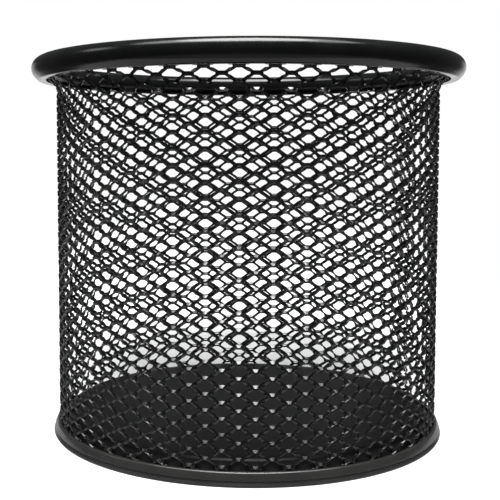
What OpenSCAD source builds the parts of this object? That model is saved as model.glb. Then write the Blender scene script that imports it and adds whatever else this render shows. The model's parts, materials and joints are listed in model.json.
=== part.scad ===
// Round desk cup for pens, made of expanded steel mesh.
// The mesh is rolled into a cylinder, flared at the top and gripped by a hollow rolled rim.
// At the foot it stands between a pressed floor pan and a rolled base ring.
// Millimetres, +Z up, origin at the centre of the foot.

/* [Overall] */
// Height from the foot to the top of the rim
overall_h = 86.5; // [60:0.5:140]
// Diameter of the mesh cylinder, at the middle of the sheet
wall_d = 88; // [70:0.5:130]

/* [Mesh] */
// Thickness of the mesh sheet
mesh_t = 0.6; // [0.4:0.05:1]
// Diamond openings in one row round the wall
cells_round = 22; // [16:1:24]
// Rows of openings from the foot of the sheet to its top edge
cells_up = 13; // [8:1:14]
// Length of the bond where two strands meet
bond_l = 2.8; // [2:0.1:5]
// Height of that bond
bond_h = 1; // [0.6:0.1:2]
// Height of the plain selvedge along the top and foot of the sheet
selvedge_h = 0.7; // [0.4:0.1:1.2]
// Radius of the flare under the rim
flare_radius = 4; // [2:0.25:8]
// How far the flare leans out from the vertical
flare_angle = 50; // [30:1:60]
// Length of sheet that is held inside the rim
rim_grip = 1.6; // [0.8:0.1:2]

/* [Rim] */
// How far the inner side of the rim lies outside the middle of the wall
rim_step = 0.85; // [0.4:0.05:2]
// Diameter of the rolled tube
rim_tube_d = 5.15; // [4:0.05:8]
// Thickness of the rolled strip
rim_t = 0.5; // [0.3:0.05:0.8]
// Gap on each side of the mesh in the rim's slot
slot_gap = 0.15; // [0.05:0.05:0.3]
// Width of the butt weld that closes the hoop
weld_w = 0.8; // [0.4:0.1:1.5]

/* [Base] */
// Diameter of the bead on the base ring
bead_d = 2.9; // [2:0.1:5]
// Thickness of the ring's strip
ring_t = 0.4; // [0.3:0.05:0.8]
// How far the ring's lower lip reaches in under the floor pan
lip_in = 0.5; // [0.2:0.1:2]
// Height of the floor's upper face
floor_h = 4.5; // [3:0.1:10]
// Thickness of the floor pan's sheet
pan_t = 0.5; // [0.3:0.05:0.8]
// Outer radius of the pan's drawn edge
pan_edge = 1; // [0.6:0.1:2]
// Gap between the mesh and the pieces that hold it
mesh_gap = 0.05; // [0.02:0.01:0.2]
// Width of a spot weld on the mesh seam
spot_d = 1; // [0.6:0.1:1.4]
// Height of a spot weld
spot_h = 0.3; // [0.1:0.05:0.5]

/* [Hidden] */
$fn = 128;

steel_black = [0.06, 0.065, 0.065];
weld_black = [0.09, 0.09, 0.095];

// The wall
wall_r = wall_d / 2;
wall_out = wall_r + mesh_t / 2;
wall_in = wall_r - mesh_t / 2;

// The rim's tube, and the point where the flared mesh passes into it
tube_r = rim_tube_d / 2;
tube_c = [wall_r + rim_step + tube_r, overall_h - tube_r];
entry_lean = flare_angle + 8;
entry = tube_c - tube_r * [cos(entry_lean), sin(entry_lean)];

// The mesh's side view: straight wall, flare arc, then a straight lead into the rim
sheet_foot = ring_t + mesh_gap;
flare_r = min(flare_radius, (entry[0] - wall_r) / (1 - cos(flare_angle)));
flare_reach = flare_r * (1 - cos(flare_angle));
flare_rise = flare_r * sin(flare_angle);
lead_out = (entry[0] - wall_r - flare_reach) / sin(flare_angle);
flare_z = entry[1] - lead_out * cos(flare_angle) - flare_rise;
straight_l = flare_z - sheet_foot;
flare_l = flare_r * flare_angle * PI / 180;
sheet_l = straight_l + flare_l + lead_out + rim_grip;

// The mesh's pattern
half_rows = 2 * cells_up;
row_h = sheet_l / cells_up;
cell_angle = 360 / cells_round;
cell_w = PI * wall_d / cells_round;
half_open_w = (cell_w - bond_l) / 2;
half_open_h = (row_h - bond_h) / 2;

// The seam runs through a column of bonds, behind and to the right
seam_column = round(cells_round * 110 / 360);
seam_angle = seam_column * cell_angle;

// The base
bead_r = bead_d / 2;
bead_c = [wall_out + mesh_gap, bead_r];
mesh_clear = wall_in * cos(cell_angle / 2);
pan_r = mesh_clear - mesh_gap;
pan_bend = max(pan_edge - pan_t, pan_t / 5);

// A point at an angle round the cup, 0 at the front and growing to the right
function around(angle, rz) = [rz[0] * sin(angle), -rz[0] * cos(angle), rz[1]];

// How far the sheet leans out at a length s up from its foot, in degrees
function lean(s) = flare_angle * max(0, min(1, (s - straight_l) / flare_l));

// Radius and height of the middle of the sheet at a length s up from its foot
function sheet_middle(s) =
    let (
        a = lean(s),
        lead = max(0, s - straight_l - flare_l)
    )
    [
        wall_r + flare_r * (1 - cos(a)) + lead * sin(a),
        sheet_foot + min(s, straight_l) + flare_r * sin(a) + lead * cos(a)
    ];

// A point of the sheet, off its middle towards the outside by the given distance
function sheet_point(angle, s, off) =
    around(angle, sheet_middle(s) + off * [cos(lean(s)), -sin(lean(s))]);

// Openings lie in half rows, every second one shifted by half a cell.
// Each has a left, top, right and foot corner, on the outer and on the inner face.
// In the first and last half rows the opening is cut in two, and the spare corner lies on the sheet's edge.
LEFT = 0;
TOP = 1;
RIGHT = 2;
FOOT = 3;
function is_even(j) = j % 2 == 0;
function opening_angle(j, k) = (is_even(j) ? k + 0.5 : k) * cell_angle;
function corner_s(j, c) =
    j == 0 ? [selvedge_h, half_open_h, selvedge_h, 0][c] :
    j == half_rows ? sheet_l - [selvedge_h, 0, selvedge_h, half_open_h][c] :
    j * row_h / 2 + [0, half_open_h, 0, -half_open_h][c];
function corner_angle(j, k, c) =
    opening_angle(j, k) + [-1, 0, 1, 0][c] * half_open_w / cell_w * cell_angle;

mesh_points = [
    for (j = [0 : half_rows], k = [0 : cells_round - 1], c = [LEFT : FOOT], side = [1, -1])
        sheet_point(corner_angle(j, k, c), corner_s(j, c), side * mesh_t / 2)
];

// Place of a corner in the list, side 0 outside and 1 inside
function at(j, k, c, side) = ((j * cells_round + (k + cells_round) % cells_round) * 4 + c) * 2 + side;
// The opening half a cell to the right in the next half row, up or down, and the one to the left
function to_right(j, k) = is_even(j) ? k + 1 : k;
function to_left(j, k) = is_even(j) ? k : k - 1;

// A loop of corners [j, k, c] as triangles on the outer face and, turned over, on the inner one
function skin(loop) = [
    for (i = [1 : len(loop) - 2], side = [0, 1])
        let (
            a = at(loop[0][0], loop[0][1], loop[0][2], side),
            b = at(loop[i][0], loop[i][1], loop[i][2], side),
            c = at(loop[i + 1][0], loop[i + 1][1], loop[i + 1][2], side)
        )
        side == 0 ? [a, c, b] : [a, b, c]
];
// The cut thickness of the sheet along a run of corners, with the open side on the left
function edge_wall(run) = [
    for (i = [0 : len(run) - 2], half = [0, 1])
        let (
            p = run[i],
            q = run[i + 1],
            po = at(p[0], p[1], p[2], 0),
            qo = at(q[0], q[1], q[2], 0),
            pi = at(p[0], p[1], p[2], 1),
            qi = at(q[0], q[1], q[2], 1)
        )
        half == 0 ? [po, qi, qo] : [po, pi, qi]
];

// The two strands that rise from an opening's top to its sides
function strands(j, k) = concat(
    skin([[j, k, RIGHT], [j + 1, to_right(j, k), FOOT], [j + 1, to_right(j, k), LEFT], [j, k, TOP]]),
    skin([[j, k, LEFT], [j, k, TOP], [j + 1, to_left(j, k), RIGHT], [j + 1, to_left(j, k), FOOT]])
);
// The bond to the right of an opening
function bond(j, k) =
    j == 0 ? concat(
        skin([[j, k, FOOT], [j, k + 1, FOOT], [j, k + 1, LEFT], [j, k, RIGHT]]),
        skin([[j, k, RIGHT], [j, k + 1, LEFT], [j + 1, to_right(j, k), FOOT]])
    ) :
    j == half_rows ? concat(
        skin([[j, k, TOP], [j, k, RIGHT], [j, k + 1, LEFT], [j, k + 1, TOP]]),
        skin([[j, k, RIGHT], [j - 1, to_right(j, k), TOP], [j, k + 1, LEFT]])
    ) :
    skin([[j, k, RIGHT], [j - 1, to_right(j, k), TOP], [j, k + 1, LEFT], [j + 1, to_right(j, k), FOOT]]);
// The selvedge below or above a half opening
function selvedge(j, k) =
    j == 0 ? concat(
        skin([[j, k, LEFT], [j, k, FOOT], [j, k, RIGHT]]),
        edge_wall([[j, k + 1, FOOT], [j, k, FOOT]])
    ) :
    concat(
        skin([[j, k, LEFT], [j, k, RIGHT], [j, k, TOP]]),
        edge_wall([[j, k, TOP], [j, k + 1, TOP]])
    );
// The cut edges round an opening
function opening_edge(j, k) =
    let (
        l = [j, k, LEFT],
        t = [j, k, TOP],
        r = [j, k, RIGHT],
        f = [j, k, FOOT]
    )
    edge_wall(j == 0 ? [l, r, t, l] : j == half_rows ? [l, f, r, l] : [l, f, r, t, l]);

mesh_faces = [
    for (j = [0 : half_rows], k = [0 : cells_round - 1])
        each concat(
            j < half_rows ? strands(j, k) : [],
            bond(j, k),
            j == 0 || j == half_rows ? selvedge(j, k) : [],
            opening_edge(j, k)
        )
];

// Expanded sheet, rolled and flared
module mesh_wall() {
    color(steel_black) polyhedron(mesh_points, mesh_faces, convexity = 10);
}

// Spot welds on the inner face of the seam's bonds, clear of the rim and the floor pan
module seam_welds() {
    cap_r = (pow(spot_d / 2, 2) + pow(spot_h, 2)) / (2 * spot_h);
    bond_r = wall_r * cos(bond_l / cell_w * cell_angle / 2) - mesh_t / 2;
    color(weld_black)
        for (row = [1 : cells_up - 1]) {
            z = sheet_middle(row * row_h)[1];
            if (z > floor_h + spot_d && z < flare_z - spot_d)
                rotate([0, 0, seam_angle - 90])
                    translate([bond_r, 0, z])
                        rotate([0, -90, 0])
                            intersection() {
                                translate([0, 0, spot_h - cap_r]) sphere(cap_r);
                                cylinder(h = spot_h, d = 2 * spot_d);
                            }
        }
}

// Side view of the rim: a hollow tube with a slot for the mesh
module rim_profile() {
    difference() {
        translate(tube_c) circle(tube_r);
        translate(tube_c) circle(tube_r - rim_t);
        translate(entry)
            rotate(90 - flare_angle)
                translate([-tube_r / 2, -mesh_t / 2 - slot_gap])
                    square([tube_r, mesh_t + 2 * slot_gap]);
    }
}

// Side view of the base ring: a half round bead with a flat lip turned in under the pan
module ring_profile() {
    intersection() {
        translate(bead_c)
            difference() {
                circle(bead_r);
                circle(bead_r - ring_t);
            }
        translate([bead_c[0], 0]) square([bead_r, bead_d]);
    }
    translate([pan_r - pan_t - lip_in, 0])
        square([bead_c[0] - pan_r + pan_t + lip_in, ring_t]);
}

// Side view of a shallow upturned pan, rounded at its edge
module pan_outline(r, h, edge) {
    square([r - edge, h]);
    square([r, h - edge]);
    translate([r - edge, h - edge]) circle(edge);
}

// A hoop bent from strip with its two ends apart at the back, or the weld that fills that gap
module hoop(gap) {
    rotate([0, 0, 90 + gap / 2]) rotate_extrude(angle = 360 - gap) children();
}
module hoop_weld(gap) {
    rotate([0, 0, 90 - gap / 2]) rotate_extrude(angle = gap) children();
}
rim_gap = weld_w / (tube_c[0] * PI) * 180;
ring_gap = weld_w / (bead_c[0] * PI) * 180;

module rim_ring() {
    color(steel_black) hoop(rim_gap) rim_profile();
}

module rim_weld() {
    color(weld_black) hoop_weld(rim_gap) rim_profile();
}

module base_ring() {
    color(steel_black) hoop(ring_gap) ring_profile();
}

module ring_weld() {
    color(weld_black) hoop_weld(ring_gap) ring_profile();
}

// Pressed disc with a drawn skirt that stands on the base ring's lip
module floor_pan() {
    color(steel_black)
        translate([0, 0, ring_t])
            rotate_extrude()
                difference() {
                    pan_outline(pan_r, floor_h - ring_t, pan_edge);
                    pan_outline(pan_r - pan_t, floor_h - ring_t - pan_t, pan_bend);
                }
}

rim_ring();
rim_weld();
mesh_wall();
seam_welds();
base_ring();
ring_weld();
floor_pan();
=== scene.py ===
import json
import math

import bmesh
import bpy
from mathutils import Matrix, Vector

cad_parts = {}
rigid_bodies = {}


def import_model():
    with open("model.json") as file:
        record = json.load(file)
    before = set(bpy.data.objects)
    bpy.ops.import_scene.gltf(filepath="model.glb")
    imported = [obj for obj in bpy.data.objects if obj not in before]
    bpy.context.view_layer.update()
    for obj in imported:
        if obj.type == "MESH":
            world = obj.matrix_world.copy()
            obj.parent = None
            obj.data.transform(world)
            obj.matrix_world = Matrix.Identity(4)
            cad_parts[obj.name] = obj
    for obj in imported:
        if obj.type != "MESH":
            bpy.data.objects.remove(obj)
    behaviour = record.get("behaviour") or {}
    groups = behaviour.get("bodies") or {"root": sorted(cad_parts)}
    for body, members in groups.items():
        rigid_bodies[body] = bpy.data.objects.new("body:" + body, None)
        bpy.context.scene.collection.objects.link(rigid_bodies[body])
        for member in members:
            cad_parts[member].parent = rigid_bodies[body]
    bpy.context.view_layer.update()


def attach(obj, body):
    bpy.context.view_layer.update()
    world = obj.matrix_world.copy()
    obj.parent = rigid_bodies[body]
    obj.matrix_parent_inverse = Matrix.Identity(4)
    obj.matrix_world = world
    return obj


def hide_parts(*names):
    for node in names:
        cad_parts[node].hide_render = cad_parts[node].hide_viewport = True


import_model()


# Wall: one sheet of expanded steel, slit and stretched into diamond openings,
# rolled into a cylinder, lapped by one opening at the back right and flared at the top.
# The stretching turned every strand nearly on edge, and the black coating rounds its outer edges.
MM = 0.001
wall_radius = 44.0 * MM
sheet_gauge = 0.50 * MM
openings_round = 42
opening_pitch = 2 * math.pi * wall_radius / openings_round
row_pitch = 3.194 * MM
bond_half_length = 1.22 * MM
bond_half_height = 0.41 * MM
bond_tip_half = 0.30 * MM
strand_width = 0.94 * MM
strand_round = 0.14 * MM
strand_twist = math.radians(82)
bond_tilt = math.radians(46)
bond_tip_drop = 0.33 * MM
bond_foot_share = 0.3
bond_head_share = 0.85
bond_ridge = 0.045 * MM
bond_tip_share = 0.9
bond_flat_share = 0.6
bond_ridge_share = 0.05
front_bond_turn = math.radians(-1.80)
front_bond_height = 24.18 * MM
sheet_foot = 0.45 * MM
flare_start = 78.15 * MM
flare_angle = math.radians(50)
flare_radius = 4.0 * MM
flare_press = 0.55
flare_length = flare_radius * flare_angle
rim_grip = 2.30 * MM
sheet_top = flare_start + flare_length + rim_grip
seam_column = 13.5
seam_turn = front_bond_turn + seam_column * 2 * math.pi / openings_round
lap_share = 0.3
lap_lift = 0.62 * MM
lap_low = 3.6 * MM
lap_high = flare_start + 3.0 * MM
hair = 1e-7
cell_join_gap = 0.10 * MM
wall_smooth = math.radians(14)


def only(piece):
    bpy.ops.object.select_all(action="DESELECT")
    piece.select_set(True)
    bpy.context.view_layer.objects.active = piece


def new_piece(name):
    piece = bpy.context.object
    piece.name = name
    piece.data.name = name
    only(piece)
    bpy.ops.object.transform_apply(location=True, rotation=True, scale=True)
    return piece


def pick(piece, kind, test):
    """In edit mode, select only the vertices, edges or faces that pass the test."""
    bpy.ops.mesh.select_mode(type=kind)
    bpy.ops.mesh.select_all(action="DESELECT")
    shape = bmesh.from_edit_mesh(piece.data)
    for item in {"VERT": shape.verts, "EDGE": shape.edges, "FACE": shape.faces}[kind]:
        if test(item):
            item.select_set(True)
    shape.select_flush_mode()
    bmesh.update_edit_mesh(piece.data)


def finish_with(piece, kind, **settings):
    """Add a modifier with these settings and apply it."""
    only(piece)
    tool = piece.modifiers.new(kind.title(), kind)
    for setting, value in settings.items():
        setattr(tool, setting, value)
    bpy.ops.object.modifier_apply(modifier=tool.name)


# one bond, cut as an octagon in the plane of the sheet
bpy.ops.object.select_all(action="DESELECT")
bpy.ops.mesh.primitive_circle_add(
    vertices=8, radius=1.0, fill_type="NGON", rotation=(math.pi / 2, math.pi / 8, 0)
)
wall = new_piece("expanded_wall")
bpy.ops.object.mode_set(mode="EDIT")
flat_of_octagon = math.cos(math.pi / 8)
bpy.ops.transform.resize(
    value=(bond_half_length / flat_of_octagon, 1.0, bond_half_height / flat_of_octagon)
)
pick(wall, "VERT", lambda v: abs(v.co.x) > bond_tip_share * bond_half_length)
tip_now = bond_half_height * math.tan(math.pi / 8)
bpy.ops.transform.resize(value=(1.0, 1.0, bond_tip_half / tip_now))

# one strand, from the bond to the middle of the way to the next bond
pick(wall, "EDGE", lambda e: all(v.co.x > 0 and v.co.z > 0 for v in e.verts))
bpy.ops.mesh.extrude_edges_move(TRANSFORM_OT_translate={"value": (0, 0, 0)})
strand_end = Vector((opening_pitch / 4, 0, row_pitch / 4))
across = Vector((-row_pitch, 0, opening_pitch)).normalized() * strand_width / 2
drawn = [v.co.copy() for v in bmesh.from_edit_mesh(wall.data).verts if v.select]
for old in drawn:
    shape = bmesh.from_edit_mesh(wall.data)
    held = max((v for v in shape.verts if (v.co - old).length < hair / 100), key=lambda v: v.index)
    goal = strand_end + (across if old.x < bond_tip_share * bond_half_length else -across)
    move = goal - old
    number = held.index
    pick(wall, "VERT", lambda v: v.index == number)
    bpy.ops.transform.translate(value=move)
bpy.ops.object.mode_set(mode="OBJECT")
finish_with(wall, "MIRROR", use_axis=(True, False, True), use_bisect_axis=(True, False, True),
            bisect_threshold=hair / 10, merge_threshold=hair)
bpy.ops.object.mode_set(mode="EDIT")
pick(wall, "VERT", lambda v: min(abs(v.co.x), abs(v.co.z)) < hair)
bpy.ops.mesh.dissolve_verts()
bpy.ops.object.mode_set(mode="OBJECT")
finish_with(wall, "SOLIDIFY", thickness=sheet_gauge, offset=0.0)

# open the four cut ends, so that neighbours join, and round the outer edges
bpy.ops.object.mode_set(mode="EDIT")
cut_end_reach = 0.02 * MM
faces_out = -0.9
faces_along = 0.1


def at_cut_end(face):
    place = face.calc_center_median()
    return (Vector((abs(place.x), 0, abs(place.z))) - strand_end).length < cut_end_reach


pick(wall, "FACE", at_cut_end)
bpy.ops.mesh.delete(type="FACE")


def outer_edge(edge):
    """An edge between the outer face of the sheet and a side of a strand or bond."""
    if len(edge.link_faces) != 2:
        return False
    faces = [f.normal.y for f in edge.link_faces]
    return min(faces) < faces_out and min(abs(y) for y in faces) < faces_along


pick(wall, "EDGE", outer_edge)
bpy.ops.mesh.bevel(offset=strand_round, segments=1, affect="EDGES")


# the bond's outer face: a flat middle that narrows to its foot, with both tips falling away
outer_skin = -0.49 * sheet_gauge


def on_bond_face(v):
    return v.co.y < outer_skin and abs(v.co.x) < bond_half_length


def on_bond_flat(v):
    return on_bond_face(v) and abs(v.co.x) < bond_flat_share * bond_half_length


for side in (-1, 1):
    pick(wall, "VERT", lambda v: on_bond_flat(v) and side * v.co.x > 0)
    bpy.ops.mesh.vert_connect_path()
pick(wall, "VERT", lambda v: on_bond_face(v) and not on_bond_flat(v))
bpy.ops.transform.translate(value=(0, bond_tip_drop, 0))
pick(wall, "VERT", lambda v: on_bond_flat(v) and v.co.z < 0)
bpy.ops.transform.resize(value=(bond_foot_share, 1.0, 1.0), center_override=(0, 0, 0))
pick(wall, "VERT", lambda v: on_bond_flat(v) and v.co.z > 0)
bpy.ops.transform.resize(value=(bond_head_share, 1.0, 1.0), center_override=(0, 0, 0))


def across_bond(edge):
    ends = [v.co for v in edge.verts]
    return all(on_bond_flat(v) for v in edge.verts) and ends[0].z * ends[1].z > 0


pick(wall, "EDGE", across_bond)
bpy.ops.mesh.subdivide(number_cuts=1)
pick(wall, "VERT", lambda v: on_bond_face(v) and abs(v.co.x) < bond_ridge_share * bond_half_length)
bpy.ops.transform.translate(value=(0, -bond_ridge, 0))

# twist: the bond and the strands lean, foot outwards
strand_reach = 0.55 * strand_width
bond_reach = 1.05 * bond_half_length
for end_x in (-1, 0, 1):
    for end_z in ((0,) if end_x == 0 else (-1, 1)):
        centre = Vector((strand_end.x * end_x, 0, strand_end.z * end_z))
        reach = strand_reach if end_x else bond_reach
        lean = strand_twist if end_x else bond_tilt
        pick(wall, "VERT", lambda v: (Vector((v.co.x, 0, v.co.z)) - centre).length < reach)
        bpy.ops.transform.rotate(value=lean, orient_axis="X", center_override=centre)
bpy.ops.object.mode_set(mode="OBJECT")

# the sheet, laid flat with the start of its flare at height 0, then trimmed, flared, lapped and rolled
first_column = seam_turn - 2 * math.pi
row_of_seam = front_bond_height + row_pitch / 2
rows_below = math.ceil((row_of_seam - sheet_foot) / row_pitch) + 1
rows = rows_below + math.ceil((sheet_top - row_of_seam) / row_pitch) + 1
lowest_row = row_of_seam - rows_below * row_pitch
bpy.ops.transform.translate(
    value=(first_column * wall_radius, 0, lowest_row - flare_start)
)
bpy.ops.object.transform_apply(location=True, rotation=True, scale=True)
for count, step in (
    (2, (opening_pitch / 2, 0, row_pitch / 2)),
    (rows, (0, 0, row_pitch)),
    (openings_round + 1, (opening_pitch, 0, 0)),
):
    finish_with(wall, "ARRAY", count=count, use_relative_offset=False, use_constant_offset=True,
                constant_offset_displace=step)

bpy.ops.object.mode_set(mode="EDIT")
bpy.ops.mesh.select_all(action="SELECT")
bpy.ops.mesh.remove_doubles(threshold=cell_join_gap)
for height, up in ((sheet_foot, -1), (sheet_top, 1)):
    bpy.ops.mesh.select_all(action="SELECT")
    bpy.ops.mesh.bisect(plane_co=(0, 0, height - flare_start), plane_no=(0, 0, up), use_fill=False,
                        clear_outer=True, threshold=hair)

# offcuts of the trimmed top edge go, the cut strands are closed, and the flare is pressed thinner
pick(wall, "VERT", lambda v: v.co.z < 0)
bpy.ops.mesh.select_linked()
bpy.ops.mesh.select_all(action="INVERT")
bpy.ops.mesh.delete(type="VERT")
bpy.ops.mesh.select_all(action="SELECT")
bpy.ops.mesh.fill_holes(sides=0)
pick(wall, "EDGE", lambda e: e.is_boundary)
bpy.ops.mesh.edge_face_add()
pick(wall, "VERT", lambda v: v.co.z > 0)
bpy.ops.transform.resize(value=(1.0, flare_press, 1.0), center_override=(0, 0, 0))
lap_from = (seam_turn - lap_share * 2 * math.pi / openings_round) * wall_radius
pick(wall, "VERT", lambda v: v.co.x > lap_from and lap_low < v.co.z + flare_start < lap_high)
bpy.ops.transform.translate(value=(0, -lap_lift, 0))
bpy.ops.object.mode_set(mode="OBJECT")

low, high = (f(v.co.z for v in wall.data.vertices) for f in (min, max))
finish_with(wall, "SIMPLE_DEFORM", deform_method="BEND", deform_axis="X", angle=-flare_angle,
            limits=(-low / (high - low), (flare_length - low) / (high - low)))
left, right = (f(v.co.x for v in wall.data.vertices) for f in (min, max))
finish_with(wall, "SIMPLE_DEFORM", deform_method="BEND", deform_axis="Z",
            angle=(right - left) / wall_radius)
bpy.ops.transform.translate(value=(0, -wall_radius, flare_start))
bpy.ops.object.transform_apply(location=True, rotation=True, scale=True)
bpy.ops.object.shade_smooth_by_angle(angle=wall_smooth)


def join(tree, source, target):
    tree.links.new(source, target)


def add_node(tree, kind, **inputs):
    """Add a node and set the named input sockets: a socket is linked, a value is stored."""
    made = tree.nodes.new(kind)
    for name, value in inputs.items():
        socket = made.inputs[name.replace("_", " ")]
        if isinstance(value, bpy.types.NodeSocket):
            join(tree, value, socket)
        else:
            socket.default_value = value
    return made


def add_ramp(tree, value, low, high, to_low, to_high):
    """Map a value from one range to another, held at both ends."""
    ramp = add_node(tree, "ShaderNodeMapRange", Value=value)
    for name, number in (("From Min", low), ("From Max", high), ("To Min", to_low), ("To Max", to_high)):
        if isinstance(number, bpy.types.NodeSocket):
            join(tree, number, ramp.inputs[name])
        else:
            ramp.inputs[name].default_value = number
    return ramp.outputs["Result"]


def mix_colours(tree, share, first, second):
    mixed = tree.nodes.new("ShaderNodeMix")
    mixed.data_type = "RGBA"
    for socket, value in ((mixed.inputs[0], share), (mixed.inputs[6], first), (mixed.inputs[7], second)):
        if isinstance(value, bpy.types.NodeSocket):
            join(tree, value, socket)
        else:
            socket.default_value = value
    return mixed.outputs[2]


# The baked black coating: cloudy depth of colour, a fine orange peel and a few specks of dust.
cloud_scale = 140.0
cloud_range = (0.3, 0.7)
speck_scale = 2100.0
speck_range = (0.66, 0.80)
dust_grey = (0.20, 0.19, 0.18, 1.0)
coating = bpy.data.node_groups.new("black_coating", "ShaderNodeTree")
for name, kind in (
    ("Dark", "NodeSocketColor"), ("Pale", "NodeSocketColor"), ("Gloss", "NodeSocketFloat"),
    ("Dull", "NodeSocketFloat"), ("Peel Scale", "NodeSocketFloat"), ("Dust", "NodeSocketFloat"),
):
    coating.interface.new_socket(name, in_out="INPUT", socket_type=kind)
for name, kind in (
    ("Colour", "NodeSocketColor"), ("Roughness", "NodeSocketFloat"), ("Height", "NodeSocketFloat"),
):
    coating.interface.new_socket(name, in_out="OUTPUT", socket_type=kind)
given = coating.nodes.new("NodeGroupInput").outputs
shown = coating.nodes.new("NodeGroupOutput").inputs
place = coating.nodes.new("ShaderNodeTexCoord").outputs["Object"]
cloud = add_node(coating, "ShaderNodeTexNoise", Vector=place, Scale=cloud_scale,
                 Detail=3.0).outputs["Fac"]
peel = add_node(coating, "ShaderNodeTexNoise", Vector=place, Scale=given["Peel Scale"],
                Detail=2.0).outputs["Fac"]
speck = add_node(coating, "ShaderNodeTexNoise", Vector=place, Scale=speck_scale,
                 Detail=1.0).outputs["Fac"]
dust = add_ramp(coating, speck, *speck_range, 0.0, given["Dust"])
depth = add_ramp(coating, cloud, *cloud_range, 0.0, 1.0)
body = mix_colours(coating, depth, given["Dark"], given["Pale"])
join(coating, mix_colours(coating, dust, body, dust_grey), shown["Colour"])
join(coating, add_ramp(coating, cloud, *cloud_range, given["Gloss"], given["Dull"]), shown["Roughness"])
join(coating, peel, shown["Height"])


def coat(piece, name, dark, pale, gloss, dull, peel_scale, peel_depth, dust_share, shine=0.5,
         edge=0.0):
    """Give a piece its own batch of the coating, which may also round its edges by a radius."""
    finish = bpy.data.materials.new(name)
    finish.use_nodes = True
    tree = finish.node_tree
    surface = tree.nodes["Principled BSDF"]
    layer = tree.nodes.new("ShaderNodeGroup")
    layer.node_tree = coating
    for socket, value in (
        ("Dark", (*dark, 1.0)), ("Pale", (*pale, 1.0)), ("Gloss", gloss), ("Dull", dull),
        ("Peel Scale", peel_scale), ("Dust", dust_share),
    ):
        layer.inputs[socket].default_value = value
    surface.inputs["Specular IOR Level"].default_value = shine
    bump = add_node(tree, "ShaderNodeBump", Height=layer.outputs["Height"], Distance=peel_depth)
    if edge:
        rounded = add_node(tree, "ShaderNodeBevel", Radius=edge)
        join(tree, rounded.outputs["Normal"], bump.inputs["Normal"])
    join(tree, layer.outputs["Colour"], surface.inputs["Base Color"])
    join(tree, layer.outputs["Roughness"], surface.inputs["Roughness"])
    join(tree, bump.outputs["Normal"], surface.inputs["Normal"])
    piece.data.materials.clear()
    piece.data.materials.append(finish)


coat(wall, "mesh_black", dark=(0.0065, 0.0068, 0.0067), pale=(0.0100, 0.0103, 0.0101),
     gloss=0.13, dull=0.20, peel_scale=2600.0, peel_depth=0.003 * MM, dust_share=0.05,
     shine=0.7, edge=0.07 * MM)
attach(wall, "root")
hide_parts("mesh_wall")


# Seam spots: resistance welds that pin the lap of the sheet, one to every second bond of the seam.
# Each is a low nugget of melted steel on the inner face, coated with the rest.
spot_half = 0.55 * MM
spot_height = 0.30 * MM
spot_flatten = 0.68
spot_steps = ((0.45, 0.90), (0.35, 0.72), (0.20, 0.45))
spot_smooth = math.radians(60)
spot_count = 11
rows_under_seam_bond = 6
first_spot = row_of_seam - rows_under_seam_bond * row_pitch
bond_inner = wall_radius - sheet_gauge / 2

bpy.ops.object.select_all(action="DESELECT")
bpy.ops.mesh.primitive_circle_add(vertices=20, radius=spot_half, fill_type="NGON",
                                  rotation=(-math.pi / 2, 0, 0))
spots = new_piece("seam_spots")
bpy.ops.object.mode_set(mode="EDIT")
for rise, draw_in in spot_steps:
    bpy.ops.mesh.extrude_region_move(TRANSFORM_OT_translate={"value": (0, rise * spot_height, 0)})
    bpy.ops.transform.resize(value=(draw_in, 1.0, draw_in))
bpy.ops.mesh.select_all(action="SELECT")
bpy.ops.transform.resize(value=(1.0, 1.0, spot_flatten))
bpy.ops.mesh.normals_make_consistent(inside=False)
bpy.ops.transform.rotate(value=bond_tilt, orient_axis="X", center_override=(0, 0, 0))
bpy.ops.transform.translate(value=(0, -bond_inner, first_spot))
bpy.ops.transform.rotate(value=-seam_turn, orient_axis="Z", center_override=(0, 0, 0))
bpy.ops.object.mode_set(mode="OBJECT")
finish_with(spots, "ARRAY", count=spot_count, use_relative_offset=False, use_constant_offset=True,
            constant_offset_displace=(0, 0, 2 * row_pitch))
bpy.ops.object.shade_smooth_by_angle(angle=spot_smooth)
coat(spots, "weld_black", dark=(0.006, 0.006, 0.006), pale=(0.014, 0.013, 0.012),
     gloss=0.30, dull=0.45, peel_scale=3000.0, peel_depth=0.01 * MM, dust_share=0.10)
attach(spots, "root")
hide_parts("seam_welds")


# Floor: a disc pressed from steel sheet with a rounded edge and a short skirt.
# The skirt stands on the lip of the base ring, inside the foot of the mesh,
# and the same coat is painted a lighter grey there than on the disc: painted light, in place of light
# falling on the skirt.
floor_top = 4.85 * MM
floor_radius = 43.2 * MM
floor_bend = 2.0 * MM
floor_gauge = 0.5 * MM
floor_foot = 0.4 * MM
floor_borders = (1.5 * MM, 6.0 * MM, 16.0 * MM)
round_steps = 192
bend_steps = 8
strip_smooth = math.radians(40)
# painted light: the lighter grey given to the skirt
skirt_painted_light_grey = (0.034, 0.035, 0.035, 1.0)

bpy.ops.object.select_all(action="DESELECT")
bpy.ops.mesh.primitive_circle_add(vertices=round_steps, radius=floor_radius - floor_bend,
                                  fill_type="NGON", location=(0, 0, floor_top))
floor = new_piece("floor_plate")
bpy.ops.object.mode_set(mode="EDIT")
bpy.ops.mesh.select_all(action="SELECT")
for border in floor_borders:
    bpy.ops.mesh.inset(thickness=border)

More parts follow.
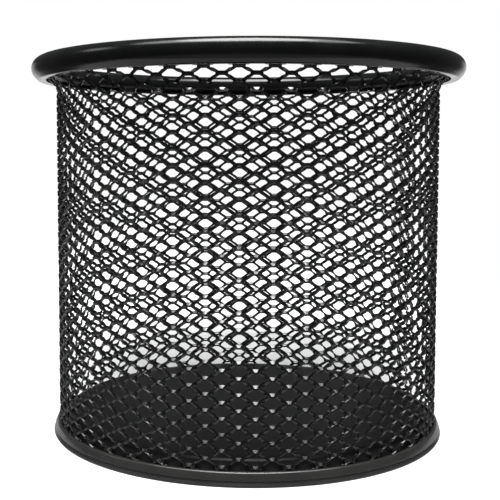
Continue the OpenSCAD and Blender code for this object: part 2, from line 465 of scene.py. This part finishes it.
reach, drop = floor_radius - floor_bend, 0.0
for step in range(1, bend_steps + 1):
    lean = math.pi / 2 * step / bend_steps
    new_reach = floor_radius - floor_bend + floor_bend * math.sin(lean)
    new_drop = floor_bend * (1 - math.cos(lean))
    pick(floor, "EDGE", lambda e: e.is_boundary)
    bpy.ops.mesh.extrude_edges_move(TRANSFORM_OT_translate={"value": (0, 0, drop - new_drop)})
    bpy.ops.transform.resize(value=(new_reach / reach, new_reach / reach, 1.0))
    reach, drop = new_reach, new_drop
pick(floor, "EDGE", lambda e: e.is_boundary)
bpy.ops.mesh.extrude_edges_move(
    TRANSFORM_OT_translate={"value": (0, 0, floor_foot - floor_top + floor_bend)}
)
bpy.ops.mesh.select_all(action="SELECT")
bpy.ops.mesh.normals_make_consistent(inside=False)
bpy.ops.object.mode_set(mode="OBJECT")
finish_with(floor, "SOLIDIFY", thickness=floor_gauge, offset=-1.0)
bpy.ops.object.shade_smooth_by_angle(angle=strip_smooth)
coat(floor, "floor_black", dark=(0.0024, 0.0028, 0.0026), pale=(0.0036, 0.0041, 0.0038),
     gloss=0.32, dull=0.40, peel_scale=1800.0, peel_depth=0.008 * MM, dust_share=0.06, shine=0.15)
tree = floor.data.materials[0].node_tree
place = add_node(tree, "ShaderNodeTexCoord").outputs["Object"]
height = add_node(tree, "ShaderNodeSeparateXYZ", Vector=place).outputs["Z"]
# Painted light: the skirt and the foot of the bend get a lighter grey than the disc, standing in for light
# on the skirt.
skirt_painted_light_share = add_ramp(tree, height, floor_top - floor_bend, floor_top - floor_bend / 4, 1.0, 0.0)
surface_colour = tree.nodes["Principled BSDF"].inputs["Base Color"]
floor_and_painted_skirt_light_colour = mix_colours(tree, skirt_painted_light_share, surface_colour.links[0].from_socket, skirt_painted_light_grey)
join(tree, floor_and_painted_skirt_light_colour, surface_colour)
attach(floor, "root")
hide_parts("floor_pan")


# Base ring: steel strip rolled to a band with a small bead along its foot, over the cut end of the mesh.
# A groove parts band and bead. A flat lip turns in under the floor, and the strip's ends meet at the back.
ring_top_radius = 44.35 * MM
ring_top = 2.9 * MM
ring_gauge = 0.4 * MM
lip_inner = 42.21 * MM
joint_width = 0.8 * MM
ring_outline = (
    (44.80 * MM, 2.88 * MM), (45.05 * MM, 2.65 * MM), (45.55 * MM, 1.36 * MM), (45.25 * MM, 1.12 * MM),
    (45.78 * MM, 0.46 * MM), (45.50 * MM, 0.0), (lip_inner, 0.0),
)
ring_round = 0.07 * MM
spin_join_gap = 0.0005 * MM


def start_profile(name, corners, radius, middle_point):
    """A ring of corners in the upright plane through X, ready to be cut and spun round the cup."""
    bpy.ops.object.select_all(action="DESELECT")
    bpy.ops.mesh.primitive_circle_add(vertices=corners, radius=radius, fill_type="NOTHING",
                                      location=middle_point, rotation=(math.pi / 2, 0, 0))
    return new_piece(name)


def trace_ring(name, sunk):
    """The side view of the ring, drawn out corner by corner from its top edge, and rounded."""
    start = Vector((ring_top_radius, 0, ring_top - sunk))
    piece = start_profile(name, 3, ring_gauge, start + Vector((0, 0, ring_gauge)))
    bpy.ops.object.mode_set(mode="EDIT")
    pick(piece, "VERT", lambda v: v.index > 0)
    bpy.ops.mesh.delete(type="VERT")
    pick(piece, "VERT", lambda v: True)
    here = bmesh.from_edit_mesh(piece.data).verts[:][0].co.copy()
    bpy.ops.transform.translate(value=start - here)
    for radius, height in ring_outline:
        end = Vector((radius - (sunk if radius > ring_top_radius else 0), 0, height + sunk))
        bpy.ops.mesh.extrude_vertices_move(TRANSFORM_OT_translate={"value": end - start})
        start = end
    pick(piece, "VERT", lambda v: len(v.link_edges) == 2)
    bpy.ops.mesh.bevel(offset=ring_round, segments=3, affect="VERTICES")
    bpy.ops.object.mode_set(mode="OBJECT")
    return piece


def roll_hoop(piece, turn, steps, start, gauge):
    """Spin the profile round the cup from a starting angle, then give the strip its thickness."""
    only(piece)
    bpy.ops.object.mode_set(mode="EDIT")
    bpy.ops.mesh.select_all(action="SELECT")
    bpy.ops.mesh.spin(steps=steps, angle=turn, center=(0, 0, 0), axis=(0, 0, -1))
    bpy.ops.mesh.select_all(action="SELECT")
    bpy.ops.mesh.remove_doubles(threshold=spin_join_gap)
    bpy.ops.mesh.normals_make_consistent(inside=False)
    bpy.ops.object.mode_set(mode="OBJECT")
    finish_with(piece, "SOLIDIFY", thickness=gauge, offset=-1.0)
    piece.rotation_euler.z = start
    bpy.ops.object.transform_apply(location=True, rotation=True, scale=True)
    bpy.ops.object.shade_smooth_by_angle(angle=strip_smooth)


ring = trace_ring("foot_ring", 0.0)
ring_gap = joint_width / ring_top_radius
roll_hoop(ring, 2 * math.pi - ring_gap, round_steps, math.pi / 2 + ring_gap / 2, ring_gauge)
coat(ring, "ring_black", dark=(0.0225, 0.0230, 0.0225), pale=(0.0305, 0.0310, 0.0298),
     gloss=0.17, dull=0.26, peel_scale=700.0, peel_depth=0.01 * MM, dust_share=0.08)
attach(ring, "root")
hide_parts("base_ring")


# Ring joint: the butt weld that closes the base ring at the back, ground nearly flush.
# It is weld metal, coated with the rest.
flush = 0.03 * MM
weld_steps = 4
ring_joint = trace_ring("ring_joint", flush)
roll_hoop(ring_joint, ring_gap, weld_steps, math.pi / 2 - ring_gap / 2, ring_gauge - 2 * flush)
coat(ring_joint, "ring_weld_black", dark=(0.016, 0.016, 0.016), pale=(0.026, 0.025, 0.024),
     gloss=0.32, dull=0.48, peel_scale=2200.0, peel_depth=0.03 * MM, dust_share=0.10)
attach(ring_joint, "root")
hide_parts("ring_weld")


# Rim: steel strip rolled into a hollow tube and bent to a hoop, slit on its inner underside.
# Its lower outer side has two flats with a blunt edge between them.
# The flared edge of the mesh is pressed into the slit, and the hoop's ends meet at the back.
tube_radius = 2.565 * MM
tube_middle = Vector((47.425 * MM, 0, 83.925 * MM))
rim_gauge = 0.5 * MM
slit_angle = math.radians(238)
slit_half = 0.62 * MM
tube_corners = 72
flat_corners = tube_corners // 8
same_way = 0.9999


def cut_rim_profile(piece):
    """Open the slit in the tube's side view and draw its lower outer side into two flats."""
    toward = Vector((math.cos(slit_angle), 0, math.sin(slit_angle)))
    bpy.ops.object.mode_set(mode="EDIT")

    def in_slit(v):
        arm = v.co - tube_middle
        return arm.dot(toward) > 0 and (arm - toward * arm.dot(toward)).length < slit_half

    pick(piece, "VERT", in_slit)
    bpy.ops.mesh.delete(type="VERT")
    for corner in range(1, flat_corners):
        lean = corner * 2 * math.pi / tube_corners
        aim = -math.pi / 4 - lean
        push = 1 / math.cos(min(lean, math.pi / 4 - lean))
        goal = Vector((math.cos(aim), 0, math.sin(aim)))
        pick(piece, "VERT", lambda v: (v.co - tube_middle).normalized().dot(goal) > same_way)
        bpy.ops.transform.resize(value=(push, push, push), center_override=tube_middle)
    bpy.ops.object.mode_set(mode="OBJECT")


rim = start_profile("rolled_rim", tube_corners, tube_radius, tube_middle)
cut_rim_profile(rim)
rim_gap = joint_width / tube_middle.x
roll_hoop(rim, 2 * math.pi - rim_gap, round_steps, math.pi / 2 + rim_gap / 2, rim_gauge)
coat(rim, "rim_black", dark=(0.0035, 0.0038, 0.0042), pale=(0.006, 0.0062, 0.0066),
     gloss=0.15, dull=0.22, peel_scale=420.0, peel_depth=0.02 * MM, dust_share=0.03, shine=0.37)
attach(rim, "root")
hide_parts("rim_ring")


# Rim joint: the butt weld that closes the rim's hoop at the back, ground nearly flush.
# It is weld metal, coated with the rest.
rim_joint = start_profile("rim_joint", tube_corners, tube_radius - flush, tube_middle)
cut_rim_profile(rim_joint)
roll_hoop(rim_joint, rim_gap, weld_steps, math.pi / 2 - rim_gap / 2, rim_gauge - 2 * flush)
coat(rim_joint, "rim_weld_black", dark=(0.006, 0.006, 0.006), pale=(0.012, 0.011, 0.010),
     gloss=0.28, dull=0.42, peel_scale=2000.0, peel_depth=0.03 * MM, dust_share=0.08)
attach(rim_joint, "root")
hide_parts("rim_weld")


# Studio: a pale table top under a soft two-part lamp, a small window at the left and a fill in front.
# The room is white to the camera. What the coating mirrors is dark above, white behind the cup,
# and pale low down, where the table would go on in front.
table_width = 0.24
table_depth = 1.6
table_front = 0.066
table_grey = (0.38, 0.38, 0.39, 1.0)
white = (1.0, 1.0, 1.0, 1.0)
shadow_middle = (0.0, 0.075, 0.0)
shadow_range = (0.035, 0.085)
far_range = (0.12, 0.30)
table_glow = 0.9
bpy.ops.object.select_all(action="DESELECT")
bpy.ops.mesh.primitive_plane_add(size=1.0, location=(0, table_depth / 2 - table_front, 0))
bpy.ops.transform.resize(value=(table_width, table_depth, 1.0))
table = new_piece("table_top")
table_finish = bpy.data.materials.new("pale_table")
table_finish.use_nodes = True
tree = table_finish.node_tree
surface = tree.nodes["Principled BSDF"]
surface.inputs["Base Color"].default_value = table_grey
surface.inputs["Roughness"].default_value = 0.9
surface.inputs["Emission Color"].default_value = white
ray = tree.nodes.new("ShaderNodeLightPath").outputs
spot = tree.nodes.new("ShaderNodeTexCoord").outputs["Object"]
away = add_node(tree, "ShaderNodeVectorMath", Vector=spot)
away.operation = "DISTANCE"
away.inputs[1].default_value = shadow_middle
# The table top glows, which is painted light: it is lifted to white for the camera except in a patch
# behind the cup, where the cup's shadow shows, and it glows to reflections only far behind the cup.
camera_glow = add_ramp(tree, away.outputs["Value"], *shadow_range, 0.0, table_glow)
behind_cup = add_node(tree, "ShaderNodeSeparateXYZ", Vector=spot).outputs["Y"]
far = add_ramp(tree, behind_cup, *far_range, 0.0, table_glow)
reflected_glow = add_ramp(tree, ray["Is Glossy Ray"], 0.0, 1.0, 0.0, far)
glow = add_ramp(tree, ray["Is Camera Ray"], 0.0, 1.0, reflected_glow, camera_glow)
join(tree, glow, surface.inputs["Emission Strength"])
table.data.materials.append(table_finish)

room_dim = 0.07
room_white = 1.0
room_plain = 0.22
front_table_pale = 0.30
back_wall_range = (0.80, 0.94)
back_wall_top = (0.05, 0.16)
front_table_range = (-0.78, -0.50)
world = bpy.data.worlds.new("studio_room")
bpy.context.scene.world = world
world.use_nodes = True
tree = world.node_tree
ray = tree.nodes.new("ShaderNodeLightPath").outputs
way = tree.nodes.new("ShaderNodeTexCoord").outputs["Generated"]
split = add_node(tree, "ShaderNodeSeparateXYZ", Vector=way).outputs
behind = add_ramp(tree, split["Y"], *back_wall_range, room_dim, room_white)
above = add_ramp(tree, split["Z"], *back_wall_top, room_white, room_dim)
room = add_node(tree, "ShaderNodeMath")
room.operation = "MINIMUM"
join(tree, behind, room.inputs[0])
join(tree, above, room.inputs[1])
below = add_ramp(tree, split["Z"], *front_table_range, front_table_pale, 0.0)
sheen = add_node(tree, "ShaderNodeMath")
sheen.operation = "ADD"
join(tree, room.outputs[0], sheen.inputs[0])
join(tree, below, sheen.inputs[1])
mirrored = add_ramp(tree, ray["Is Glossy Ray"], 0.0, 1.0, room_plain, sheen.outputs[0])
level = add_ramp(tree, ray["Is Camera Ray"], 0.0, 1.0, mirrored, room_white)
backdrop = tree.nodes["Background"]
backdrop.inputs["Color"].default_value = white
join(tree, level, backdrop.inputs["Strength"])


def hang_lamp(name, shape, place, facing, width, energy):
    """An area lamp whose lit side looks along a direction."""
    bpy.ops.object.light_add(type="AREA", location=place)
    made = bpy.context.object
    made.name = name
    made.rotation_euler = (-Vector(facing)).to_track_quat("Z", "Y").to_euler()
    made.data.shape = shape
    made.data.size = width
    made.data.energy = energy
    return made


# the narrow lamp draws the rim's short highlight, and the wide one fades it out to the sides
straight_down = (0.0, 0.0, -1.0)
lamp_place = (0.0, -0.07, 0.62)
lamp_depth = 0.32
lamp_tint = (0.99, 1.0, 0.97)
for lamp_name, lamp_width, lamp_energy in (("overhead_lamp", 0.40, 5.8), ("overhead_halo", 0.80, 3.4)):
    lamp = hang_lamp(lamp_name, "ELLIPSE", lamp_place, straight_down, lamp_width, lamp_energy)
    lamp.data.size_y = lamp_depth
    lamp.data.color = lamp_tint
hang_lamp("side_window", "DISK", (-0.58, 0.0, 0.47), (0.83, 0.0, -0.55), width=0.19, energy=0.22)
fill = hang_lamp("front_fill", "DISK", (0.0, -0.55, 0.58), (0.0, 1.0, -1.0), width=0.30, energy=3.0)
fill.visible_glossy = False

camera_tilt = math.radians(90 - 4.16)
camera_turn = math.radians(2.34)
camera_data = bpy.data.cameras.new("camera")
camera_data.lens = 67.1
camera_data.sensor_width = 36.0
camera_data.shift_x = 0.0834
camera_data.shift_y = -0.0569
camera = bpy.data.objects.new("camera", camera_data)
camera.location = (0.0, -0.22214, 0.0647)
camera.rotation_euler = (camera_tilt, 0.0, camera_turn)
bpy.context.scene.collection.objects.link(camera)
bpy.context.scene.camera = camera
bpy.context.scene.view_settings.view_transform = "Standard"
